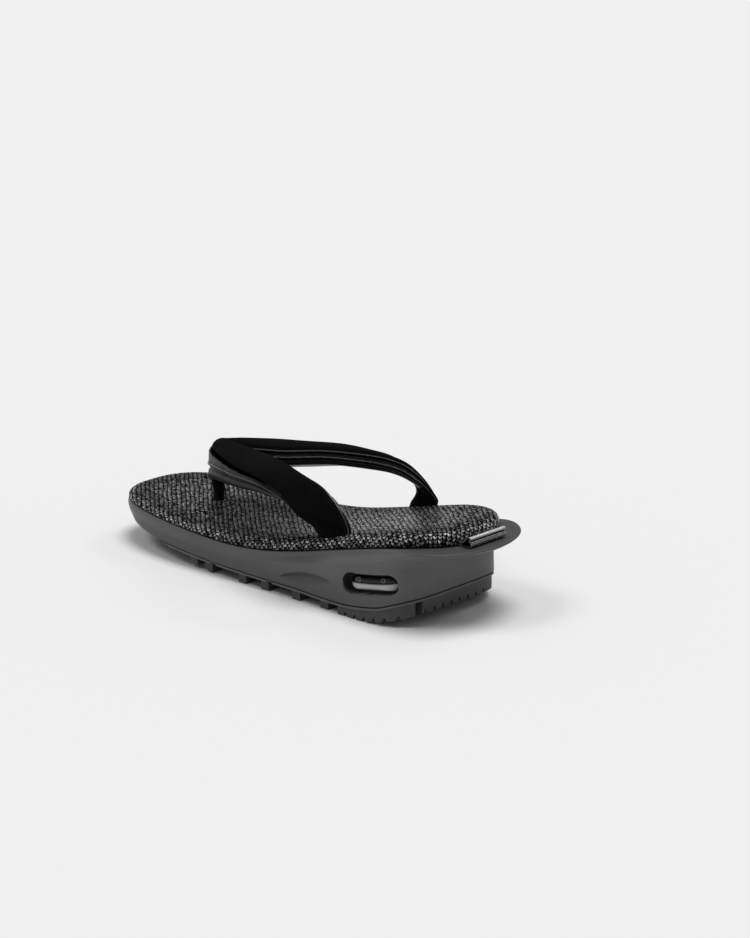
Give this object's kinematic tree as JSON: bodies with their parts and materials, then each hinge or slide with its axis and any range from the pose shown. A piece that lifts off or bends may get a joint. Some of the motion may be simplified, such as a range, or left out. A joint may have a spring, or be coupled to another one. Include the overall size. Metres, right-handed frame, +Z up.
{
  "type": "thong sandal",
  "caption": "Thong sandal: woven padded footbed on a sprung foam sole with a rear shelf, windowed air unit, lugged outsole, folded heel tab and padded V strap on a toe post.",
  "frame": {"origin": "middle of the floor contact plane's bounding rectangle: half way between the rear shelf's end and the toe's tip, on the sandal's middle plane, on the floor", "axes": "+X towards the toe, +Y towards the side that faces the camera, +Z up"},
  "size_m": [0.283, 0.0996, 0.071],
  "materials": {
    "satin_foam": "satin moulded foam",
    "smoky_film": "glossy translucent film",
    "dark_rubber": "satin rubber",
    "black_weave": "glossy synthetic cord weave",
    "gloss_ribbon": "glossy ribbon",
    "black_velvet": "velvet top with leather edges",
    "black_cloth": "matte cloth"
  },
  "bodies": {
    "root": {"midsole": "satin_foam", "air_unit": "smoky_film", "outsole": "dark_rubber", "footbed": "black_weave", "heel_tab": "gloss_ribbon", "strap": "black_velvet", "toe_post": "black_cloth"}
  },
  "joints": []
}
